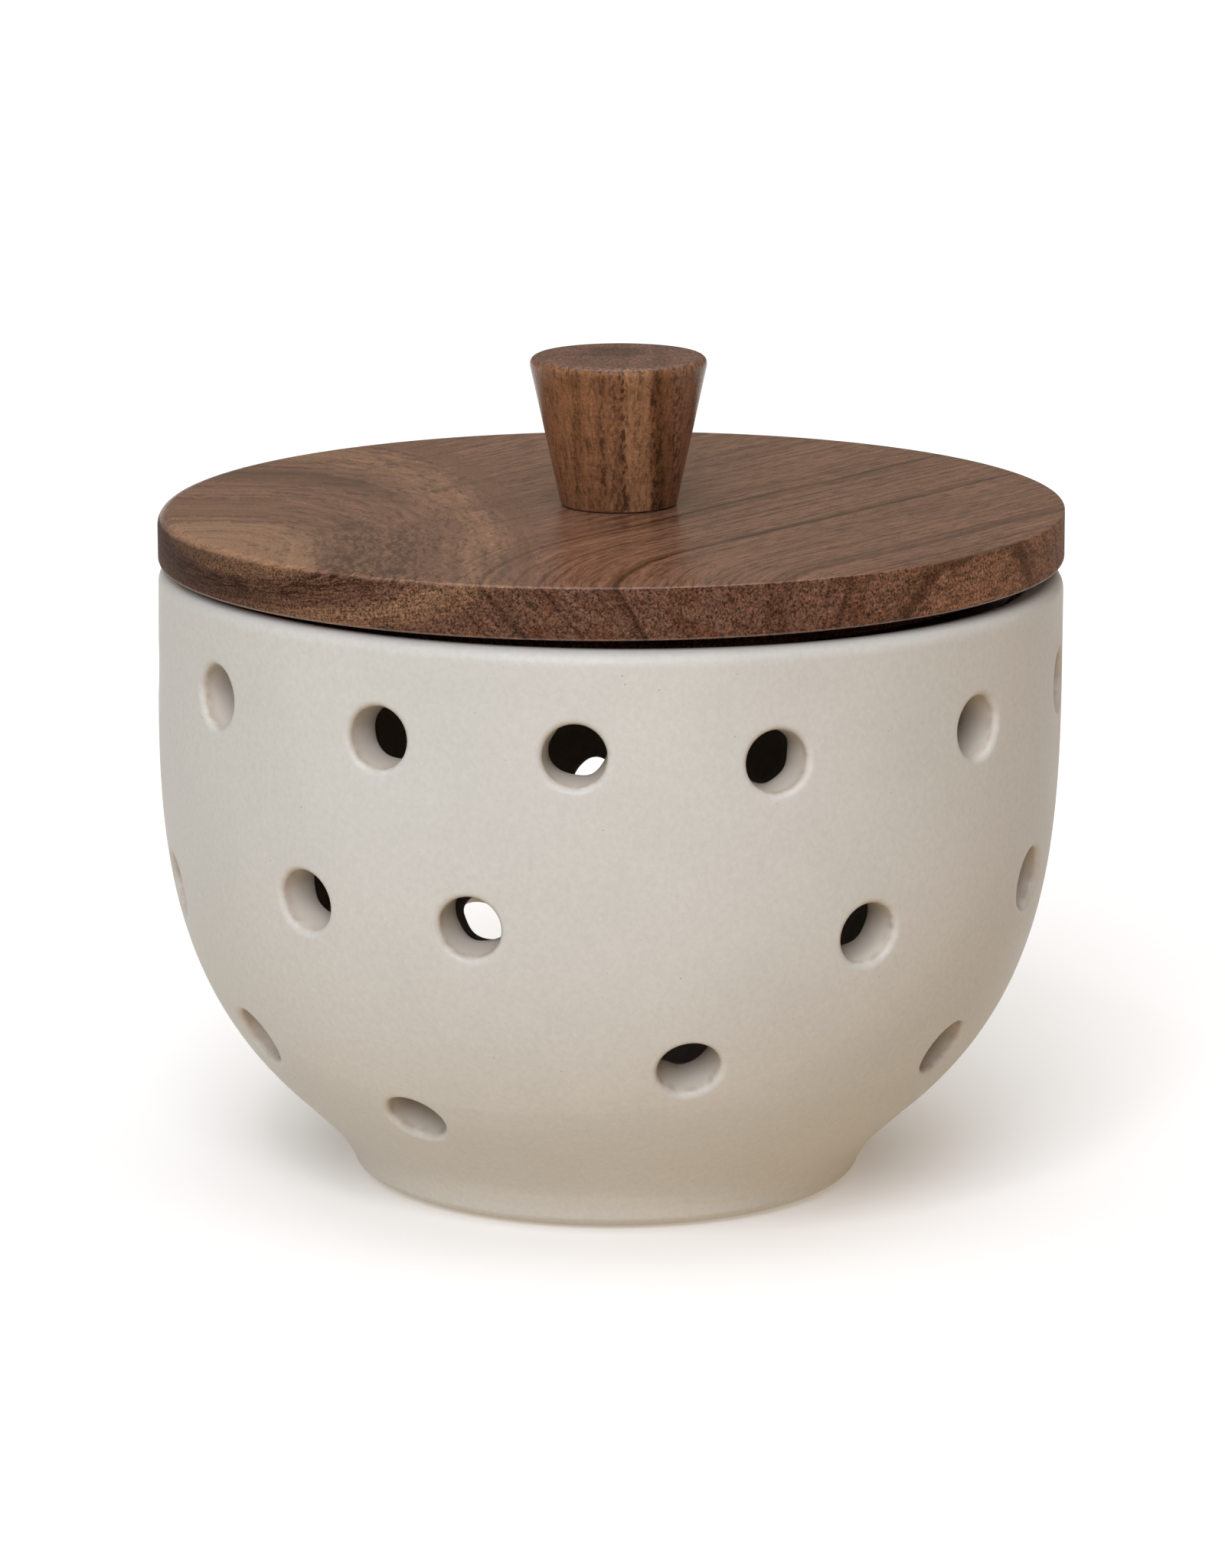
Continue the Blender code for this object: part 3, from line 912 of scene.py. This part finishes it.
def steel_material():
    g = Graph("zinc_steel")
    grain = g.noise(g.at, 3.0, detail=4.0, roughness=0.6)
    colour = g.mix(grain, (0.46, 0.45, 0.43), (0.62, 0.61, 0.60))
    return g.finish(colour, g.remap(grain, 0.3, 0.7, 0.28, 0.42), g.bump(grain, 0.00001, 0.4), Metallic=1.0)


# ---------------------------------------------------------------- stage

WHITE = (1.0, 1.0, 1.0)
FLOOR_WHITE = (0.99, 0.985, 0.98)
FLOOR_GLOW = 0.14
FLOOR_R = 12.0

# Colours of the surroundings that light the object, by how steeply up (1) or down (-1) they lie
SURROUNDINGS = ((-1.0, (1.70, 1.57, 1.40)), (-0.5, (1.02, 0.92, 0.775)), (-0.2, (0.51, 0.45, 0.37)),
                (0.1, (0.29, 0.285, 0.275)), (1.0, (0.27, 0.265, 0.255)))
LEFT_LIGHT = (0.63, 0.63, 0.61)
RIGHT_LIGHT = (0.55, 0.405, 0.25)

# Suns: name, degrees round from the front towards +X, degrees up, strength, spread in degrees, colour
SUNS = (("key", -10, 34, 0.645, 40, (0.97, 1.0, 1.08)),
        ("top", 0, 90, 0.47, 70, WHITE),
        ("glint", -20, 52, 0.04, 5, WHITE))

CAMERA_AT = (0.0, -1.0495, 0.2901)
CAMERA_DOWN = 12.298
CAMERA_TURN = -0.028
CAMERA_ROLL = 0.504
LENS_MM = 158.2
SENSOR_MM = 36.0


def make_stage():
    """A pale floor that reaches past the view. Diffuse light ignores it, so the world lights from below."""
    bm = bmesh.new()
    bmesh.ops.create_circle(bm, cap_ends=True, segments=96, radius=FLOOR_R)
    g = Graph("pale_floor")
    g.finish(FLOOR_WHITE, 0.9, Emission_Color=(*FLOOR_WHITE, 1.0), Emission_Strength=FLOOR_GLOW)
    floor = new_object("floor", bm, [g.mat])
    floor.visible_diffuse = False


def make_sun(name, around, up, strength, spread, colour):
    light = bpy.data.lights.new(name, "SUN")
    light.energy = strength * pi
    light.angle = radians(spread)
    light.color = colour
    lamp = bpy.data.objects.new(name, light)
    a, e = radians(around), radians(up)
    towards = Vector((sin(a) * cos(e), -cos(a) * cos(e), sin(e)))
    lamp.rotation_euler = towards.to_track_quat("Z", "Y").to_euler()
    bpy.context.scene.collection.objects.link(lamp)


def make_world():
    """Dim sky over a warm bounce from below, warmer on the right. Seen directly it is plain white."""
    world = bpy.data.worlds.new("studio")
    world.use_nodes = True
    nodes, links = world.node_tree.nodes, world.node_tree.links

    def colour_mix(blend="MIX"):
        node = nodes.new("ShaderNodeMix")
        node.data_type = "RGBA"
        node.blend_type = blend
        node.inputs["Factor"].default_value = 1.0
        return node

    direction = nodes.new("ShaderNodeTexCoord")
    split = nodes.new("ShaderNodeSeparateXYZ")
    links.new(direction.outputs["Generated"], split.inputs[0])
    places = {}
    for axis in ("X", "Z"):
        places[axis] = nodes.new("ShaderNodeMapRange")
        places[axis].inputs["From Min"].default_value = -1.0
        links.new(split.outputs[axis], places[axis].inputs["Value"])
    height = nodes.new("ShaderNodeValToRGB")
    band = height.color_ramp
    while len(band.elements) < len(SURROUNDINGS):
        band.elements.new(1.0)
    for element, (rise, colour) in zip(band.elements, SURROUNDINGS):
        element.position = (rise + 1.0) / 2.0
        element.color = (*colour, 1.0)
    links.new(places["Z"].outputs[0], height.inputs[0])
    sideways = colour_mix()
    sideways.inputs["A"].default_value = (*LEFT_LIGHT, 1.0)
    sideways.inputs["B"].default_value = (*RIGHT_LIGHT, 1.0)
    links.new(places["X"].outputs[0], sideways.inputs["Factor"])
    shaded = colour_mix("MULTIPLY")
    links.new(height.outputs["Color"], shaded.inputs["A"])
    links.new(sideways.outputs["Result"], shaded.inputs["B"])
    path = nodes.new("ShaderNodeLightPath")
    seen = colour_mix()
    links.new(path.outputs["Is Camera Ray"], seen.inputs["Factor"])
    links.new(shaded.outputs["Result"], seen.inputs["A"])
    seen.inputs["B"].default_value = (*WHITE, 1.0)
    links.new(seen.outputs["Result"], nodes["Background"].inputs["Color"])
    bpy.context.scene.world = world


def make_camera():
    data = bpy.data.cameras.new("camera")
    data.lens = LENS_MM
    data.sensor_width = SENSOR_MM
    camera = bpy.data.objects.new("camera", data)
    turn = Matrix.Rotation(radians(CAMERA_TURN), 4, "Z") @ Matrix.Rotation(radians(90 - CAMERA_DOWN), 4, "X")
    turn = turn @ Matrix.Rotation(radians(CAMERA_ROLL), 4, "Z")
    camera.matrix_world = Matrix.Translation(CAMERA_AT) @ turn
    bpy.context.scene.collection.objects.link(camera)
    bpy.context.scene.camera = camera
    bpy.context.scene.view_settings.view_transform = "Standard"


def main():
    glaze = glaze_material("cream_glaze", CREAM, CREAM_CLOUD, IRON, 0.42, 0.8)
    inner_glaze = glaze_material("inner_glaze", INNER_CREAM, INNER_CLOUD, INNER_IRON, 0.4, 0.0)
    bowl = make_bowl([glaze, inner_glaze, clay_material()])
    lid = make_lid([lid_wood("acacia_board", 0.47), lid_wood("acacia_board_edge", 0.06)])
    seal = make_seal([silicone_material()])
    knob = make_knob([knob_wood("acacia_knob_top", 0.72), knob_wood("acacia_knob_side", 0.08)])
    for piece, body, node, slot in ((bowl, "bowl", "bowl", "stoneware"), (lid, "lid", "lid_board", "acacia"),
                                    (seal, "seal", "seal_ring", "silicone"), (knob, "lid", "knob", "acacia")):
        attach(piece, body)
        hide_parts(node)
    screw = frame["nodes"]["knob_screw"]
    screw.data.materials.clear()
    screw.data.materials.append(steel_material())
    make_stage()
    make_world()
    for sun in SUNS:
        make_sun(*sun)
    make_camera()


main()
